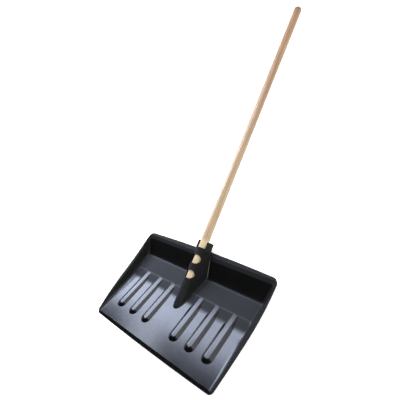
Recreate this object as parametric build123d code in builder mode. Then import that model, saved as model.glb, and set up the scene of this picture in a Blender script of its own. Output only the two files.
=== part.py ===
from build123d import *
import math
import os

# Snow shovel: a one-piece moulded scoop with an open-strap socket, a turned wooden
# handle pushed into the socket, and two screws that hold it there from behind.
#
# Millimetres, +Z up.  The shovel lies at rest on flat ground, scoop up: it touches the
# ground along the heel of the scoop and at the far end of the handle.  +Y runs from the
# scoop's front edge to the end of the handle, and the origin is on the ground under the
# middle of the whole tool.

# ---------------------------------------------------------------- driving dimensions
# scoop, in the scoop's own frame: x across, y from the front edge back, z off the floor
FRONT_HALF = 250.0        # half width at the front edge
BACK_HALF = 271.0         # half width over the rim at the back
SIDE_MID = (266.0, 137.0)  # a point on the bowed side of the rim
BACK_Y = 327.0            # rear edge of the rim at the corners
BACK_BOW = 6.5            # how far the rear rim bows back in the middle
FRONT_BOW = 2.6           # how far the front edge bows forward in the middle
FRONT_CORNER = 14.0
BACK_CORNER = 19.0
WALL = 4.0                # moulding thickness

FLOOR_FLAT = 150.0        # the floor is flat up to here
FLOOR_RADIUS = 300.0      # then curves up
FLOOR_SLOPE = 0.12        # to this slope, up to the heel crease
CREASE_Y = 266.0
BACK_ANGLE = 41.0         # rear wall above the floor plane
BASE_HALF = 248.0         # side wall foot, half width at the front
BASE_TAPER = 0.02         # side wall foot closes in towards the back
SIDE_FLARE = 0.5          # side wall leans out, mm per mm of height
SIDE_BACK_R = 17.0        # vertical corners between side and rear walls
FOOT_R = 16.0             # round at the foot of the walls
RIM = [(-14.0, -3.0), (0.0, 0.0), (60.0, 11.5), (150.0, 24.0), (240.0, 38.5), (320.0, 58.5), (350.0, 64.0)]

LIP_LENGTH = 11.0         # bevel along the front edge
LIP_DROP = 2.4

# six raised ribs on the floor
RIB_PITCH = 62.8
RIB_WIDTH = 36.0
RIB_HEIGHT = 5.2
RIB_TAPER = 63.5          # the flanks are this far off upright
RIB_TOP_R = 10.0
RIB_FRONT = 52.0
RIB_BACK = 232.0

# handle and socket, along the handle's axis (s, 0 where the socket ends, + up the handle)
LIFT = 28.5               # handle above the floor plane
AXIS_Y, AXIS_Z = 353.0, 96.2
HANDLE_D = 28.0
TENON_D = 27.6            # the handle is eased to this inside the socket
TENON_S = -4.0
HANDLE_TOP = 950.0
HANDLE_FOOT = -150.0
HANDLE_END_R = 9.0
SOCKET_R = 18.0
BORE_R = 13.9
DRAFT = 30.0              # socket flanks lean out
STRAPS = [(-58.0, -33.0), (-110.0, -87.0)]       # bridges over the front of the handle
CRADLES = [(-33.0, -9.0), (-87.0, -58.0), (-136.0, -110.0)]  # half shells behind it
COLLAR_HALF = 25.5        # the collar round the upper half shell
COLLAR_N = (-20.0, 3.0)
WINDOW_W = 34.0
WINDOW_R = 12.5
WINDOW_N = -4.0           # the windows are cut back to here
NOSE_S = -242.0           # the socket's ridge runs out in the floor near here
SOCKET_FOOT_R = 6.0       # round where the socket meets the floor

# fixing screws
SCREW_S = [-21.0, -123.0]
SCREW_D = 4.2
SCREW_HEAD_D = 9.0
SCREW_HEAD_H = 3.2
SCREW_HEAD_R = 1.5        # pan head
SCREW_TIP_N = 5.0         # depth of the point past the handle's axis
BOSS_R = 6.5
BOSS_N = 19.5             # screw seat behind the axis

# ---------------------------------------------------------------- derived geometry
lift = math.radians(LIFT)
back = math.radians(BACK_ANGLE)
ramp = math.atan(FLOOR_SLOPE)
arc_end_y = FLOOR_FLAT + FLOOR_RADIUS * math.sin(ramp)
arc_end_z = FLOOR_RADIUS * (1 - math.cos(ramp))
crease_z = arc_end_z + (CREASE_Y - arc_end_y) * FLOOR_SLOPE

# heel round: its centre is FOOT_R off both the ramp and the rear wall
bis = (ramp + back) / 2
half = (back - ramp) / 2
reach = FOOT_R / math.cos(half)
heel_y = CREASE_Y - math.sin(bis) * reach
heel_z = crease_z + math.cos(bis) * reach
heel_r = FOOT_R + WALL

# round at the far end of the handle
tip_s = HANDLE_TOP - HANDLE_END_R
tip_n = -(HANDLE_D / 2 - HANDLE_END_R)
tip_y = AXIS_Y + tip_s * math.cos(lift) - tip_n * math.sin(lift)
tip_z = AXIS_Z + tip_s * math.sin(lift) + tip_n * math.cos(lift)

# the ground is the line under both rounds, so the scoop's floor leans by this much
dist = math.hypot(tip_y - heel_y, tip_z - heel_z)
lean = math.atan2(tip_z - heel_z, tip_y - heel_y) - math.asin((HANDLE_END_R - heel_r) / dist)
GROUND = heel_r - (-math.sin(lean) * heel_y + math.cos(lean) * heel_z)
CENTRE_Y = 649.844          # half way between the front edge and the end of the handle


def spot(x, y, z):
    """A point of the scoop's own frame, in the tool's frame."""
    return Vector(
        x,
        y * math.cos(lean) + z * math.sin(lean) - CENTRE_Y,
        -y * math.sin(lean) + z * math.cos(lean) + GROUND,
    )


ALONG = Vector(0, math.cos(lean), -math.sin(lean))    # scoop y
NORMAL = Vector(0, math.sin(lean), math.cos(lean))    # scoop z
AXIS = Vector(0, math.cos(lift - lean), math.sin(lift - lean))
FACE = Vector(0, -math.sin(lift - lean), math.cos(lift - lean))   # handle's front side


def side(x=0.0):
    """Side view plane at x: its X is the scoop's y, its Y is the scoop's z."""
    return Plane(origin=spot(x, 0, 0), x_dir=ALONG, z_dir=Vector(1, 0, 0))


def level(z=0.0):
    """Plan view plane at height z off the scoop's floor."""
    return Plane(origin=spot(0, 0, z), x_dir=Vector(1, 0, 0), z_dir=NORMAL)


def along(s=0.0, n=0.0):
    """Point on the handle's centre plane, s up its axis and n in front of it."""
    return spot(
        0,
        AXIS_Y + s * math.cos(lift) - n * math.sin(lift),
        AXIS_Z + s * math.sin(lift) + n * math.cos(lift),
    )


def across(s=0.0):
    """Plane square to the handle at s: its X is x, its Y is the front side."""
    return Plane(origin=along(s), x_dir=Vector(-1, 0, 0), z_dir=AXIS)


def front(n=0.0):
    """Plane facing the handle's front side: its X is x, its Y runs up the handle."""
    return Plane(origin=along(0, n), x_dir=Vector(1, 0, 0), z_dir=FACE)


def ridge(shift):
    return [(y, z + shift) for y, z in RIM]


def tray(extra, top):
    """The scoop's inside as a solid (extra = 0), or its outside (extra = WALL)."""
    lo = -extra
    d = extra
    # ramp and rear wall lines, moved out by d
    r = FLOOR_RADIUS + d
    a_y, a_z = FLOOR_FLAT + r * math.sin(ramp), FLOOR_RADIUS - r * math.cos(ramp)
    k_y = CREASE_Y + math.sin(bis) * d / math.cos(half)
    k_z = crease_z - math.cos(bis) * d / math.cos(half)
    t_y = k_y + (top - k_z) / math.tan(back)
    m_y = FLOOR_FLAT + r * math.sin(ramp / 2)
    m_z = FLOOR_RADIUS - r * math.cos(ramp / 2)
    foot = BASE_HALF + d * (math.sqrt(1 + SIDE_FLARE ** 2))
    with BuildPart() as body:
        with BuildSketch(side()):
            with BuildLine():
                Line((-60, lo), (FLOOR_FLAT, lo))
                ThreePointArc((FLOOR_FLAT, lo), (m_y, m_z), (a_y, a_z))
                Line((a_y, a_z), (k_y, k_z))
                Line((k_y, k_z), (t_y, top))
                Line((t_y, top), (-60, top))
                Line((-60, top), (-60, lo))
            make_face()
        extrude(amount=420, both=True)
        # side walls, leaning out
        z0, z1 = -40.0, top + 10
        with BuildSketch(level(z0), mode=Mode.PRIVATE) as low:
            with BuildLine():
                w = foot + SIDE_FLARE * z0
                Polyline(
                    (-w - BASE_TAPER * 80, -80), (w + BASE_TAPER * 80, -80),
                    (w - BASE_TAPER * 520, 520), (-w + BASE_TAPER * 520, 520), close=True,
                )
            make_face()
        with BuildSketch(level(z1), mode=Mode.PRIVATE) as high:
            with BuildLine():
                w = foot + SIDE_FLARE * z1
                Polyline(
                    (-w - BASE_TAPER * 80, -80), (w + BASE_TAPER * 80, -80),
                    (w - BASE_TAPER * 520, 520), (-w + BASE_TAPER * 520, 520), close=True,
                )
            make_face()
        loft([low.sketch, high.sketch], ruled=True, mode=Mode.INTERSECT)
        # corners between the rear and side walls, then the foot all round
        corners = [
            e for e in body.edges()
            if abs(e.center().X) > 200 and (e @ 0 - e @ 1).dot(NORMAL) ** 2 > 900
            and min((e @ 0 - spot(0, 0, 0)).dot(ALONG), (e @ 1 - spot(0, 0, 0)).dot(ALONG)) > 200
        ]
        fillet(corners, SIDE_BACK_R + extra)
        feet = [
            e for e in body.edges()
            if (e.center() - spot(0, 0, 0)).dot(NORMAL) < crease_z + 3
            and (abs(e.center().X) > 200 or (e.center() - spot(0, 0, 0)).dot(ALONG) > 240)
            and (e.center() - spot(0, 0, 0)).dot(ALONG) > -40
        ]
        fillet(feet, FOOT_R + extra)
    return body.part


inside = tray(0.0, 120.0)
outside = tray(WALL, 120.0)

# plan outline of the whole scoop, over the rim
with BuildSketch(level(-60)) as outline:
    with BuildLine():
        ThreePointArc((-FRONT_HALF, 0), (0, -FRONT_BOW), (FRONT_HALF, 0))
        ThreePointArc((FRONT_HALF, 0), SIDE_MID, (BACK_HALF, BACK_Y))
        ThreePointArc((BACK_HALF, BACK_Y), (0, BACK_Y + BACK_BOW), (-BACK_HALF, BACK_Y))
        ThreePointArc((-BACK_HALF, BACK_Y), (-SIDE_MID[0], SIDE_MID[1]), (-FRONT_HALF, 0))
    make_face()
    corners = outline.vertices().sort_by(Axis(spot(0, 0, 0), ALONG))
    fillet(corners[:2], FRONT_CORNER)
    corners = [v for v in outline.vertices() if (Vector(v) - spot(0, 0, 0)).dot(ALONG) > BACK_Y - 1]
    fillet([v for v in corners if abs(v.X) > BACK_HALF - 1], BACK_CORNER)

# everything under the rim line, and the flange band just under it
with BuildSketch(side()) as under_rim:
    with BuildLine():
        Spline(*ridge(0))
        Polyline(ridge(0)[-1], (360, -60), (-14, -60), ridge(0)[0])
    make_face()
with BuildSketch(side()) as flange_band:
    with BuildLine():
        Spline(*ridge(0))
        Line(ridge(0)[-1], ridge(-WALL)[-1])
        Spline(*ridge(-WALL))
        Line(ridge(-WALL)[0], ridge(0)[0])
    make_face()

# socket: a round barrel on the handle's axis with flanks leaning out to the floor
def barrel(r, s0, s1, depth=70.0):
    """Barrel and flanks between s0 and s1, r is the barrel's radius."""
    d = math.radians(DRAFT)
    tx, tn = r * math.cos(d), r * math.sin(d)
    with BuildPart() as body:
        with BuildSketch(across(s0)):
            Circle(r)
            with BuildLine():
                Polyline(
                    (tx, tn), (tx + (depth + tn) * math.tan(d), -depth),
                    (-tx - (depth + tn) * math.tan(d), -depth), (-tx, tn), close=True,
                )
            make_face()
        extrude(amount=s1 - s0)
    return body.part


def rib_slot(x, width, y0, y1):
    """Outline of one floor rib, rounded at its front end."""
    with Locations((x, (y0 + y1) / 2)):
        RectangleRounded(width, y1 - y0, width / 2 - 0.01)


RIB_X = [RIB_PITCH * k for k in (-3, -2, -1, 1, 2, 3)]

# floor and walls below the rim, with the flange round the sides and back
with BuildPart() as shell:
    extrude(under_rim.sketch, amount=300, both=True)
    add(outside, mode=Mode.INTERSECT)
    extrude(flange_band.sketch, amount=300, both=True)
    extrude(outline.sketch, amount=200, mode=Mode.INTERSECT)
    add(inside, mode=Mode.SUBTRACT)

# raised floor ribs, softened along the top, run out where the floor rises
with BuildPart() as ribs:
    with BuildSketch(level(0)):
        for x in RIB_X:
            rib_slot(x, RIB_WIDTH, RIB_FRONT, RIB_BACK)
    extrude(amount=RIB_HEIGHT, taper=RIB_TAPER)
    tops = [e for e in ribs.edges() if (e.center() - spot(0, 0, 0)).dot(NORMAL) > RIB_HEIGHT - 0.01]
    fillet(tops, RIB_TOP_R)
    add(outside, mode=Mode.INTERSECT)

# socket barrel and flanks, down to the floor and the rear wall
with BuildPart() as flanks:
    add(barrel(SOCKET_R, NOSE_S, STRAPS[0][1]))
    add(outside, mode=Mode.INTERSECT)

# the top of the rear wall, carried on behind the handle
with BuildPart() as bridge:
    with BuildSketch(side()):
        Polygon((290, 44), (345, 44), (345, 75), (290, 75), align=None)
    extrude(amount=42, both=True)
    add(shell.part, mode=Mode.INTERSECT)

# half shells that hold the handle from behind, between the flanks
with BuildPart() as cradles:
    for s0, s1 in CRADLES[1:]:
        with BuildSketch(across(s0)):
            with BuildLine():
                ThreePointArc((-SOCKET_R, 0), (0, -SOCKET_R), (SOCKET_R, 0))
                Line((SOCKET_R, 0), (-SOCKET_R, 0))
            make_face()
        extrude(amount=s1 - s0)

# collar at the mouth of the socket, open to the front, cored from behind
with BuildPart() as collar:
    low, high = COLLAR_N
    s0, s1 = CRADLES[0][0] - 10, CRADLES[0][1]
    with BuildSketch(front(low)):
        with Locations((0, (s0 + s1) / 2)):
            Rectangle(2 * COLLAR_HALF, s1 - s0)
    extrude(amount=high - low)
    lengthwise = collar.edges().filter_by(lambda e: abs((e % 0.5).dot(AXIS)) > 0.9)
    fillet(lengthwise, 3.0)
    mouth = collar.faces().sort_by(Axis(along(0), AXIS))[-1]
    fillet(mouth.edges(), 1.5)
    with BuildSketch(front(low - 1)) as pockets:
        with Locations((0, (s0 + s1) / 2)):
            Rectangle(2 * (COLLAR_HALF - WALL), s1 - s0 - 2 * WALL)
    with BuildPart(mode=Mode.PRIVATE) as core:
        extrude(pockets.sketch, amount=COLLAR_N[1] - 3.2 - low + 1)
        with BuildSketch(across(s0 - 5)):
            Circle(SOCKET_R)
        extrude(amount=60, mode=Mode.SUBTRACT)
    add(core, mode=Mode.SUBTRACT)

# seats for the screw heads
with BuildPart() as seats:
    for s0 in SCREW_S:
        with BuildSketch(front(-BOSS_N)):
            with Locations((0, s0)):
                Circle(BOSS_R)
        extrude(amount=BOSS_N)

# ---------------------------------------------------------------- scoop
with BuildPart() as scoop:
    add(shell.part)
    # socket flanks, blended into the floor all round their foot
    add(flanks)
    foot = [
        e for e in scoop.edges(Select.NEW)
        if (e.center() - spot(0, 0, 0)).dot(NORMAL) < crease_z + 1
    ]
    fillet(foot, SOCKET_FOOT_R)
    # bevel along the front edge
    with BuildSketch(side()):
        Polygon(
            (LIP_LENGTH - FRONT_BOW, 0), (-FRONT_BOW - 10, -LIP_DROP * (1 + 10 / LIP_LENGTH)),
            (-FRONT_BOW - 10, 5), (LIP_LENGTH - FRONT_BOW, 5), align=None,
        )
    extrude(amount=300, both=True, mode=Mode.SUBTRACT)
    add(ribs.part)
    # the ribs are hollow underneath
    with BuildSketch(level(-WALL)):
        for x in RIB_X:
            rib_slot(x, RIB_WIDTH - 5, RIB_FRONT + 3, 196)
    extrude(amount=RIB_HEIGHT, taper=RIB_TAPER - 8, mode=Mode.SUBTRACT)

    # the socket is hollow behind, with a stop under the handle's foot
    add(barrel(BORE_R, -196.0, 60.0), mode=Mode.SUBTRACT)
    with BuildPart(mode=Mode.PRIVATE) as stop:
        add(barrel(BORE_R + 1, HANDLE_FOOT - WALL, HANDLE_FOOT))
        add(outside, mode=Mode.INTERSECT)
    add(stop.part)
    add(bridge)
    add(cradles)
    add(collar)
    add(seats)
    # bore for the handle
    with BuildSketch(across(HANDLE_FOOT)):
        Circle(BORE_R)
    extrude(amount=240, mode=Mode.SUBTRACT)
    # windows in the front of the socket, between the straps
    with BuildSketch(front(WINDOW_N)):
        for s0, s1 in CRADLES[1:]:
            with Locations((0, (s0 + s1) / 2)):
                RectangleRounded(WINDOW_W, s1 - s0, WINDOW_R)
    extrude(amount=40, mode=Mode.SUBTRACT)
    # screw holes
    for s0 in SCREW_S:
        with BuildSketch(front(-BOSS_N - 1)):
            with Locations((0, s0)):
                Circle(SCREW_D / 2)
        extrude(amount=12, mode=Mode.SUBTRACT)
scoop.part.label = "scoop"
print("scoop", scoop.part.is_valid, len(scoop.part.solids()), scoop.part.volume)

# ---------------------------------------------------------------- handle
with BuildPart() as handle:
    with BuildSketch(Plane(origin=along(0), x_dir=FACE, z_dir=Vector(1, 0, 0))):
        with BuildLine():
            Polyline(
                (0, -HANDLE_FOOT), (0, -HANDLE_TOP), (HANDLE_D / 2, -HANDLE_TOP),
                (HANDLE_D / 2, -TENON_S), (TENON_D / 2, -TENON_S + 1.0),
                (TENON_D / 2, -HANDLE_FOOT), close=True,
            )
        make_face()
    revolve(axis=Axis(along(0), AXIS))
    ends = handle.edges().filter_by(GeomType.CIRCLE)
    fillet(ends.sort_by(Axis(along(0), AXIS))[-1], HANDLE_END_R)
    chamfer(handle.edges().filter_by(GeomType.CIRCLE).sort_by(Axis(along(0), AXIS))[0], 2.0)
    # screw pilots
    for s0 in SCREW_S:
        with BuildSketch(front(SCREW_TIP_N)):
            with Locations((0, s0)):
                Circle(SCREW_D / 2)
        extrude(amount=-(SCREW_TIP_N + HANDLE_D), mode=Mode.SUBTRACT)
handle.part.label = "handle"
print("handle", handle.part.is_valid, len(handle.part.solids()), handle.part.volume)

# ---------------------------------------------------------------- screws
with BuildPart() as fixing_screws:
    for s0 in SCREW_S:
        with BuildSketch(front(-BOSS_N)):
            with Locations((0, s0)):
                Circle(SCREW_D / 2)
        extrude(amount=BOSS_N + SCREW_TIP_N)
        with BuildSketch(front(-BOSS_N - SCREW_HEAD_H)):
            with Locations((0, s0)):
                Circle(SCREW_HEAD_D / 2)
        extrude(amount=SCREW_HEAD_H)
    # pan heads with a cross recess
    crowns = [
        e for e in fixing_screws.edges().filter_by(GeomType.CIRCLE)
        if abs((e.center() - along(0)).dot(FACE) + BOSS_N + SCREW_HEAD_H) < 0.01
    ]
    fillet(crowns, SCREW_HEAD_R)
    for s0 in SCREW_S:
        with BuildSketch(front(-BOSS_N - SCREW_HEAD_H)):
            with Locations((0, s0)):
                Rectangle(4.6, 1.1)
                Rectangle(1.1, 4.6)
        extrude(amount=1.8, mode=Mode.SUBTRACT)
    points = [
        e for e in fixing_screws.edges().filter_by(GeomType.CIRCLE)
        if abs((e.center() - along(0)).dot(FACE) - SCREW_TIP_N) < 0.01
    ]
    chamfer(points, 1.2)
fixing_screws.part.label = "fixing_screws"
print("fixing_screws", fixing_screws.part.is_valid, len(fixing_screws.part.solids()), fixing_screws.part.volume)

boxes = [p.part.bounding_box() for p in (scoop, handle, fixing_screws)]
print("y", min(b.min.Y for b in boxes), max(b.max.Y for b in boxes))
print("z", [b.min.Z for b in boxes], max(b.max.Z for b in boxes), "lean", math.degrees(lean))

os.makedirs("parts", exist_ok=True)
export_step(scoop.part, "parts/scoop.step")
export_step(handle.part, "parts/handle.step")
export_step(fixing_screws.part, "parts/fixing_screws.step")
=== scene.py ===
import math

import bpy
from mathutils import Matrix, Vector

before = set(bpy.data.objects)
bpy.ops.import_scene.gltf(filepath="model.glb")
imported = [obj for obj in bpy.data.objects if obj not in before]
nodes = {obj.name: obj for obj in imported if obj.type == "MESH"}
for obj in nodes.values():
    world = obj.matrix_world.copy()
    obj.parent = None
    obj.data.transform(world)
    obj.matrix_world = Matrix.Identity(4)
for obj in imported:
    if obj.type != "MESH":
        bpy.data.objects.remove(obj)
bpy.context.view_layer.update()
scene = bpy.context.scene

# ------------------------------------------------------------------ directions on the tool
# the scoop's own axes, seen in the row frame: its floor leans, and y runs from the front edge back
SCOOP_O = Vector((0.0, -0.649844, 0.1248893))
SCOOP_Y = Vector((0.0, 0.8686893, -0.4953574))
SCOOP_Z = Vector((0.0, 0.4953574, 0.8686893))
# the handle's axis
HANDLE_DIR = Vector((0.0, 0.99978312, -0.02082589))
HANDLE_TOP = 0.950
HANDLE_O = SCOOP_O + SCOOP_Y * 0.353 + SCOOP_Z * 0.0962      # where the socket ends


HANDLE_FACE = Vector((0.0, 0.02082589, 0.99978312))
# the line of the rim in the scoop's side view, (y, z)
RIM_LINE = ((0.0, 0.0), (0.060, 0.0115), (0.150, 0.024), (0.240, 0.0385), (0.320, 0.0585), (0.350, 0.064))


# ------------------------------------------------------------------ node helpers
class Net:
    """A material's node tree, with short calls to add nodes and join them."""

    def __init__(self, name):
        self.mat = bpy.data.materials.new(name)
        self.mat.use_nodes = True
        self.tree = self.mat.node_tree
        self.bsdf = self.tree.nodes["Principled BSDF"]
        self.coord = self.tree.nodes.new("ShaderNodeTexCoord").outputs["Object"]

    def plug(self, value, socket):
        if isinstance(value, bpy.types.NodeSocket):
            self.tree.links.new(value, socket)
        elif isinstance(value, (tuple, list, Vector)) and len(value) == 3 and socket.type == "RGBA":
            socket.default_value = (*value, 1.0)
        else:
            socket.default_value = value

    def math(self, op, a, b=0.0, c=0.0, clamp=False):
        n = self.tree.nodes.new("ShaderNodeMath")
        n.operation = op
        n.use_clamp = clamp
        for v, s in zip((a, b, c), n.inputs):
            self.plug(v, s)
        return n.outputs[0]

    def vmath(self, op, a, b=(0, 0, 0), scale=1.0):
        n = self.tree.nodes.new("ShaderNodeVectorMath")
        n.operation = op
        self.plug(a, n.inputs[0])
        self.plug(b, n.inputs[1])
        if op == "SCALE":
            self.plug(scale, n.inputs["Scale"])
        return n.outputs["Value"] if op in ("DOT_PRODUCT", "LENGTH") else n.outputs["Vector"]

    def dot(self, origin, axis):
        """Distance of the shaded point from origin along axis, in metres."""
        return self.vmath("DOT_PRODUCT", self.vmath("SUBTRACT", self.coord, tuple(origin)), tuple(axis))

    def combine(self, x, y, z):
        n = self.tree.nodes.new("ShaderNodeCombineXYZ")
        for v, s in zip((x, y, z), n.inputs):
            self.plug(v, s)
        return n.outputs[0]

    def noise(self, vector, scale=1.0, detail=2.0, rough=0.5, distortion=0.0):
        n = self.tree.nodes.new("ShaderNodeTexNoise")
        self.plug(vector, n.inputs["Vector"])
        self.plug(scale, n.inputs["Scale"])
        self.plug(detail, n.inputs["Detail"])
        self.plug(rough, n.inputs["Roughness"])
        self.plug(distortion, n.inputs["Distortion"])
        return n.outputs["Fac"]

    def voronoi(self, vector, scale=1.0, feature="F1"):
        n = self.tree.nodes.new("ShaderNodeTexVoronoi")
        n.feature = feature
        self.plug(vector, n.inputs["Vector"])
        self.plug(scale, n.inputs["Scale"])
        return n.outputs["Distance"]

    def step(self, value, lo, hi, a=0.0, b=1.0):
        """value from lo to hi eased to a to b."""
        n = self.tree.nodes.new("ShaderNodeMapRange")
        n.interpolation_type = "SMOOTHSTEP"
        for v, s in zip((value, lo, hi, a, b), ("Value", "From Min", "From Max", "To Min", "To Max")):
            self.plug(v, n.inputs[s])
        return n.outputs["Result"]

    def mix(self, fac, a, b):
        n = self.tree.nodes.new("ShaderNodeMix")
        n.data_type = "RGBA"
        self.plug(fac, n.inputs[0])
        self.plug(a, n.inputs[6])
        self.plug(b, n.inputs[7])
        return n.outputs[2]

    def lerp(self, fac, a, b):
        n = self.tree.nodes.new("ShaderNodeMix")
        self.plug(fac, n.inputs[0])
        self.plug(a, n.inputs[2])
        self.plug(b, n.inputs[3])
        return n.outputs[0]

    def bump(self, height, distance, strength=1.0, under=None):
        n = self.tree.nodes.new("ShaderNodeBump")
        self.plug(height, n.inputs["Height"])
        self.plug(distance, n.inputs["Distance"])
        self.plug(strength, n.inputs["Strength"])
        if under is not None:
            self.plug(under, n.inputs["Normal"])
        return n.outputs["Normal"]

    def rail(self, value, points):
        """Height of a line through the points, above value."""
        total = points[0][1]
        for (y0, z0), (y1, z1) in zip(points, points[1:]):
            n = self.tree.nodes.new("ShaderNodeMapRange")
            for v, s in zip((value, y0, y1, 0.0, z1 - z0), ("Value", "From Min", "From Max", "To Min", "To Max")):
                self.plug(v, n.inputs[s])
            total = self.math("ADD", total, n.outputs["Result"])
        return total

    def out(self, socket, value):
        self.plug(value, self.bsdf.inputs[socket])


# ------------------------------------------------------------------ black moulded plastic
def moulded_black():
    n = Net("black_moulding_satin")
    y = n.dot(SCOOP_O, SCOOP_Y)
    z = n.dot(SCOOP_O, SCOOP_Z)
    x = n.dot(Vector((0, 0, 0)), Vector((1, 0, 0)))
    local = n.combine(x, y, z)

    # the flat of the floor is moulded smooth, everything else has a matt spark grain
    wander = n.noise(local, 24.0, 2.0, 0.5)
    edge = n.math("MULTIPLY_ADD", wander, 0.010, -0.005)
    flat = n.step(n.math("ADD", y, edge), 0.160, 0.176, 1.0, 0.0)
    low = n.step(z, 0.0085, 0.014, 1.0, 0.0)
    above = n.step(z, -0.0035, -0.0015, 0.0, 1.0)
    inside = n.step(n.math("ABSOLUTE", x), 0.238, 0.247, 1.0, 0.0)
    smooth = n.math("MULTIPLY", n.math("MULTIPLY", flat, low), n.math("MULTIPLY", above, inside))
    crest = n.math("MULTIPLY", n.step(z, 0.0040, 0.0047), n.step(z, 0.0052, 0.0058, 1.0, 0.0))
    crest = n.math("MULTIPLY", crest, n.step(y, 0.200, 0.210, 1.0, 0.0))
    smooth = n.math("MAXIMUM", smooth, n.math("MULTIPLY", crest, inside))

    grain = n.noise(local, 1500.0, 2.0, 0.6)
    pits = n.voronoi(local, 620.0)
    flow = n.noise(n.combine(n.math("MULTIPLY", x, 9.0), n.math("MULTIPLY", y, 3.5), n.math("MULTIPLY", z, 9.0)), 1.0, 3.0, 0.55)
    # fine scratches, most of them front to back, as snow and grit slide over the floor
    hair = n.noise(n.combine(n.math("MULTIPLY", x, 900.0), n.math("MULTIPLY", y, 14.0), n.math("MULTIPLY", z, 300.0)), 1.0, 3.0, 0.7, 0.4)
    scratch = n.step(hair, 0.635, 0.70)
    hair2 = n.noise(n.combine(n.math("MULTIPLY_ADD", y, 55.0, 7.0), n.math("MULTIPLY", x, 520.0), n.math("MULTIPLY", z, 300.0)), 1.0, 2.0, 0.6, 0.8)
    scratch2 = n.step(hair2, 0.66, 0.72)
    scuffs = n.math("MAXIMUM", scratch, n.math("MULTIPLY", scratch2, 0.5))
    # worn strip along the front lip
    patchy = n.noise(local, 60.0, 4.0, 0.65)
    lip = n.math("MULTIPLY", n.step(y, 0.006, 0.0, 0.0, 1.0), n.step(patchy, 0.42, 0.62))
    worn = n.math("MULTIPLY", lip, n.math("MULTIPLY_ADD", scuffs, 0.6, 0.4))

    colour = n.mix(flow, (0.0016, 0.0016, 0.0018), (0.0028, 0.0028, 0.0031))
    colour = n.mix(n.math("MULTIPLY", scuffs, 0.08), colour, (0.05, 0.05, 0.053))
    colour = n.mix(n.math("MULTIPLY", worn, 0.22), colour, (0.055, 0.055, 0.058))
    n.out("Base Color", colour)

    ramp = n.math("MULTIPLY", n.step(y, 0.168, 0.180), n.step(y, 0.256, 0.268, 1.0, 0.0))
    ramp = n.math("MULTIPLY", ramp, n.step(z, 0.013, 0.018, 1.0, 0.0))
    walls = n.step(z, 0.016, 0.024)
    matt = n.lerp(ramp, n.lerp(walls, 0.36, 0.29), 0.62)
    # the rim and the shoulders of the socket take the knocks and are duller
    rim = n.step(n.math("SUBTRACT", z, n.rail(y, RIM_LINE)), -0.0065, -0.0050)
    rim = n.math("MULTIPLY", rim, n.step(y, 0.004, 0.012))
    front = n.dot(HANDLE_O, HANDLE_FACE)
    shoulder = n.math("MULTIPLY", n.step(front, 0.004, 0.009), n.step(n.math("ABSOLUTE", x), 0.016, 0.021, 1.0, 0.0))
    shoulder = n.math("MULTIPLY", shoulder, n.step(z, 0.0005, 0.0020))
    matt = n.lerp(n.math("MAXIMUM", rim, n.math("MULTIPLY", shoulder, 0.8)), matt, 0.72)
    rough = n.lerp(n.math("MULTIPLY", smooth, n.math("SUBTRACT", 1.0, shoulder)), matt, 0.20)
    rough = n.math("ADD", rough, n.math("MULTIPLY_ADD", flow, 0.10, -0.05))
    rough = n.math("ADD", rough, n.math("MULTIPLY", scuffs, 0.06))
    rough = n.math("ADD", rough, n.math("MULTIPLY", worn, 0.15), clamp=True)
    n.out("Roughness", rough)

    wave = n.noise(local, 16.0, 1.0, 0.4)
    normal = n.bump(wave, 0.0006, 0.35)
    texture = n.math("ADD", grain, n.math("MULTIPLY", pits, 0.8))
    normal = n.bump(texture, 0.00006, n.lerp(smooth, 0.65, 0.09), normal)
    normal = n.bump(n.math("MULTIPLY", scuffs, -1.0), 0.00003, 0.22, normal)
    n.out("Normal", normal)
    n.bsdf.inputs["IOR"].default_value = 1.37
    return n.mat


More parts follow.
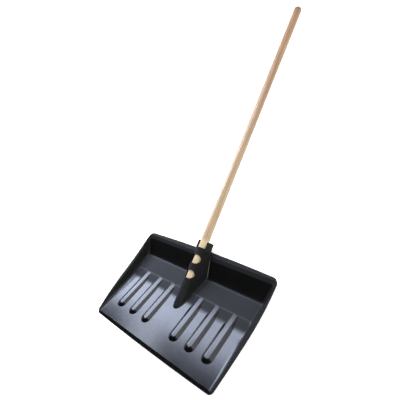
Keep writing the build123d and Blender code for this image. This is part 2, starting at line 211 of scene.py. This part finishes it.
# ------------------------------------------------------------------ turned wood
def turned_wood():
    n = Net("turned_wood_clear")
    s = n.dot(HANDLE_O, HANDLE_DIR)
    side = Vector((1, 0, 0))
    face = side.cross(HANDLE_DIR)
    u = n.dot(HANDLE_O, side)
    v = n.dot(HANDLE_O, face)

    # growth rings about a pith well outside the handle, wandering slowly along it
    drift = n.noise(n.combine(n.math("MULTIPLY", u, 9.0), n.math("MULTIPLY", v, 9.0), n.math("MULTIPLY", s, 2.2)), 1.0, 2.0, 0.5)
    pu = n.math("ADD", n.math("ADD", u, 0.031), n.math("MULTIPLY_ADD", drift, 0.016, -0.008))
    pv = n.math("ADD", n.math("ADD", v, 0.012), n.math("MULTIPLY_ADD", drift, -0.012, 0.006))
    radius = n.math("SQRT", n.math("ADD", n.math("MULTIPLY", pu, pu), n.math("MULTIPLY", pv, pv)))
    radius = n.math("ADD", radius, n.math("MULTIPLY", s, 0.006))
    wob = n.noise(n.combine(n.math("MULTIPLY", u, 160.0), n.math("MULTIPLY", v, 160.0), n.math("MULTIPLY", s, 9.0)), 1.0, 3.0, 0.6)
    ring = n.math("FRACT", n.math("ADD", n.math("MULTIPLY", radius, 390.0), n.math("MULTIPLY", wob, 0.9)))
    late = n.math("MULTIPLY", n.step(ring, 0.35, 0.86), n.step(ring, 0.90, 1.0, 1.0, 0.0))

    # fibres and short dark flecks
    fibre = n.noise(n.combine(n.math("MULTIPLY", u, 1500.0), n.math("MULTIPLY", v, 1500.0), n.math("MULTIPLY", s, 30.0)), 1.0, 3.0, 0.6)
    fleck = n.noise(n.combine(n.math("MULTIPLY", u, 2100.0), n.math("MULTIPLY", v, 2100.0), n.math("MULTIPLY", s, 190.0)), 1.0, 1.0, 0.5)
    fleck = n.step(fleck, 0.66, 0.74)
    tone = n.noise(n.combine(n.math("MULTIPLY", u, 22.0), n.math("MULTIPLY", v, 22.0), n.math("MULTIPLY_ADD", s, 8.5, 3.0)), 1.0, 2.0, 0.5)
    tone = n.step(tone, 0.30, 0.70)

    colour = n.mix(tone, (0.56, 0.395, 0.245), (0.63, 0.425, 0.235))
    colour = n.mix(n.math("MULTIPLY", late, 0.62), colour, (0.40, 0.235, 0.118))
    colour = n.mix(n.math("MULTIPLY", n.step(fibre, 0.35, 0.75), 0.35), colour, (0.44, 0.285, 0.155))
    colour = n.mix(n.math("MULTIPLY", fleck, 0.45), colour, (0.22, 0.12, 0.055))
    # greyer and darker, in mottled patches, over the last hand's breadth (about 50 mm) towards the end
    tip_mottle = n.noise(n.combine(n.math("MULTIPLY", u, 90.0), n.math("MULTIPLY", v, 90.0), n.math("MULTIPLY", s, 40.0)), 1.0, 3.0, 0.6)
    tip = n.math("MULTIPLY", n.step(s, 0.900, 0.950), n.math("MULTIPLY_ADD", tip_mottle, 0.5, 0.55), clamp=True)
    colour = n.mix(n.math("MULTIPLY", tip, 0.55), colour, (0.17, 0.13, 0.10))
    # paler and greyer low down, warmer and darker towards the top end: partly the wood's own tone, partly painted shade
    # for the light falling off along the handle
    tone_and_painted_light = n.mix(n.step(s, 0.0, 0.90), (0.91, 1.00, 1.10), (0.64, 0.575, 0.58))
    # paler inside the socket: painted light, brightening the wood seen through the socket's windows, which sits in the
    # socket's shade
    tone_and_painted_light = n.mix(n.step(s, -0.012, 0.004, 1.0, 0.0), tone_and_painted_light, (1.26, 1.50, 1.72))
    colour = n.vmath("MULTIPLY", colour, tone_and_painted_light)
    n.out("Base Color", colour)

    rough = n.math("MULTIPLY_ADD", fibre, 0.16, 0.36)
    rough = n.math("ADD", rough, n.math("MULTIPLY", tip, 0.18), clamp=True)
    n.out("Roughness", rough)
    height = n.math("ADD", n.math("MULTIPLY", fibre, 0.5), n.math("MULTIPLY", late, 0.35))
    height = n.math("SUBTRACT", height, n.math("MULTIPLY", fleck, 0.6))
    n.out("Normal", n.bump(height, 0.00012, 0.5))
    n.bsdf.inputs["IOR"].default_value = 1.48
    n.bsdf.inputs["Coat Weight"].default_value = 0.25
    n.bsdf.inputs["Coat Roughness"].default_value = 0.28
    return n.mat


# ------------------------------------------------------------------ zinc-plated steel
def zinc():
    n = Net("zinc_plated_steel")
    cloud = n.noise(n.coord, 900.0, 3.0, 0.6)
    brush = n.noise(n.combine(n.dot(HANDLE_O, (1, 0, 0)), n.dot(HANDLE_O, (0, 1, 0)), n.math("MULTIPLY", n.dot(HANDLE_O, (0, 0, 1)), 9.0)), 2500.0, 2.0, 0.5)
    tint = n.noise(n.coord, 260.0, 2.0, 0.5)
    n.out("Base Color", n.mix(n.step(tint, 0.35, 0.65), (0.56, 0.56, 0.57), (0.66, 0.62, 0.52)))
    n.out("Roughness", n.math("MULTIPLY_ADD", cloud, 0.22, 0.20))
    n.out("Normal", n.bump(n.math("ADD", cloud, brush), 0.00003, 0.4))
    n.bsdf.inputs["Metallic"].default_value = 1.0
    return n.mat


for name, material in (("scoop", moulded_black()), ("handle", turned_wood()), ("fixing_screws", zinc())):
    mesh = nodes[name].data
    mesh.materials.clear()
    mesh.materials.append(material)

# ------------------------------------------------------------------ camera
right = Vector((0.73978, 0.3646, -0.5655)).normalized()
up = Vector((-0.1714, 0.91485, 0.36562))
up = (up - right * up.dot(right)).normalized()
back = right.cross(up)
eye = Vector((0.63631, -0.3662, 0.85505))
camera = bpy.data.cameras.new("view")
camera.sensor_width = 36.0
camera.lens = 28.5027
camera.clip_start, camera.clip_end = 0.02, 60.0
camera_object = bpy.data.objects.new("view", camera)
camera_object.matrix_world = Matrix(
    [[right[i], up[i], back[i], eye[i]] for i in range(3)] + [[0, 0, 0, 1]]
)
scene.collection.objects.link(camera_object)
scene.camera = camera_object

# ------------------------------------------------------------------ floor
floor_mesh = bpy.data.meshes.new("studio_floor")
half = 14.0
floor_mesh.from_pydata(
    [(-half, -half, -0.0004), (half, -half, -0.0004), (half, half, -0.0004), (-half, half, -0.0004)], [], [(0, 1, 2, 3)]
)
floor = bpy.data.objects.new("studio_floor", floor_mesh)
scene.collection.objects.link(floor)
pale = Net("pale_floor")
pale.out("Base Color", pale.mix(pale.noise(pale.coord, 1.5, 2.0, 0.5), (0.90, 0.90, 0.895), (0.93, 0.93, 0.925)))
pale.out("Roughness", pale.math("MULTIPLY_ADD", pale.noise(pale.coord, 40.0, 2.0, 0.5), 0.1, 0.8))
pale.bsdf.inputs["Specular IOR Level"].default_value = 0.1
pale.bsdf.inputs["Emission Color"].default_value = (1.0, 1.0, 1.0, 1.0)
# the floor glows: painted light, its emission rising from 0.62 near the tool to 1.0 far off so the floor stays white
# where the lamps fall off and shadows stay faint, and dimmed to the right of the tool so less of it lights the handle's
# right side
away = pale.vmath("LENGTH", pale.vmath("MULTIPLY", pale.coord, (1.0, 0.8, 0.0)))
glow = pale.step(away, 0.45, 2.2, 0.62, 1.0)
beside = pale.dot(Vector((0, 0, 0)), Vector((1, 0, 0)))
dim = pale.math("MULTIPLY", pale.step(beside, 0.9, 2.2), pale.step(beside, 3.5, 6.0, 1.0, 0.0))
pale.out("Emission Strength", pale.math("MULTIPLY", glow, pale.math("MULTIPLY_ADD", dim, -0.35, 1.0)))
floor_mesh.materials.append(pale.mat)

# ------------------------------------------------------------------ light
def softbox(name, centre, aim, size, radiance, colour=(1, 1, 1), roll=0.0, shape="RECTANGLE", spread=180.0):
    """A flat light of the given size (x, y in its own plane) facing aim, of even brightness."""
    light = bpy.data.lights.new(name, "AREA")
    light.shape = shape
    light.size, light.size_y = size
    light.energy = radiance * math.pi * size[0] * size[1] * (math.pi / 4 if shape == "ELLIPSE" else 1)
    light.color = colour
    light.spread = math.radians(spread)
    thing = bpy.data.objects.new(name, light)
    toward = (Vector(aim) - Vector(centre)).normalized()
    level = toward.cross(Vector((0, 0, 1))).normalized()        # horizontal, to the right of the aim
    rise = level.cross(toward)
    a = level * math.cos(roll) + rise * math.sin(roll)
    b = -toward
    c = b.cross(a)
    thing.matrix_world = Matrix(
        [[a[i], c[i], b[i], centre[i]] for i in range(3)] + [[0, 0, 0, 1]]
    )
    thing.visible_camera = False
    scene.collection.objects.link(thing)
    return thing


aim = Vector((0.0, -0.563, 0.075))                              # the middle of the scoop's floor
toward = Vector((-0.61923, 0.56394, 0.54637)).normalized()      # where the floor's flat mirrors to
lu = toward.cross(Vector((0, 0, 1))).normalized()
lv = lu.cross(toward)


def hung(u, v, d=2.2):
    return aim + toward * d + lu * u + lv * v


strip = softbox("strip", hung(0.03, -0.07), aim, (2.3, 0.38), 22.5, (0.70, 0.78, 1.0), roll=-math.radians(31))
patch = softbox("patch", hung(-0.25, 0.18), aim, (0.28, 0.30), 20.0, (0.74, 0.81, 1.0), roll=-math.radians(28))
strip.visible_diffuse = patch.visible_diffuse = False              # cool, and seen only as a reflection
wash = softbox("wash", hung(0.03, -0.07, 2.21), aim, (2.3, 0.38), 22.5, (0.82, 0.78, 0.69), roll=-math.radians(31))
wash.visible_glossy = False                                        # its warm counterpart on the wood
softbox("key", (1.9, -1.3, 2.5), (0, 0.1, 0), (1.5, 1.2), 9.0, (1.0, 0.985, 0.96))
softbox("fill", (0.71, 1.68, 2.52), aim, (2.2, 1.5), 3.6, (0.96, 0.98, 1.0))

world = bpy.data.worlds.new("studio")
scene.world = world
world.use_nodes = True
# pale along the horizon, dim overhead
sky = world.node_tree
background = sky.nodes["Background"]
background.inputs["Color"].default_value = (0.99, 0.995, 1.0, 1)
split = sky.nodes.new("ShaderNodeSeparateXYZ")
sky.links.new(sky.nodes.new("ShaderNodeTexCoord").outputs["Generated"], split.inputs[0])
rise = sky.nodes.new("ShaderNodeMapRange")
rise.interpolation_type = "SMOOTHSTEP"
for value, name in ((0.20, "From Min"), (0.42, "From Max"), (1.0, "To Min"), (0.05, "To Max")):
    rise.inputs[name].default_value = value
sky.links.new(split.outputs["Z"], rise.inputs["Value"])
across = sky.nodes.new("ShaderNodeMapRange")
across.interpolation_type = "SMOOTHSTEP"
for value, name in ((0.1, "From Min"), (0.8, "From Max"), (1.0, "To Min"), (0.6, "To Max")):
    across.inputs[name].default_value = value
sky.links.new(split.outputs["X"], across.inputs["Value"])
both = sky.nodes.new("ShaderNodeMath")
both.operation = "MULTIPLY"
sky.links.new(rise.outputs["Result"], both.inputs[0])
sky.links.new(across.outputs["Result"], both.inputs[1])
sky.links.new(both.outputs[0], background.inputs["Strength"])
scene.view_settings.view_transform = "Standard"
scene.view_settings.look = "None"
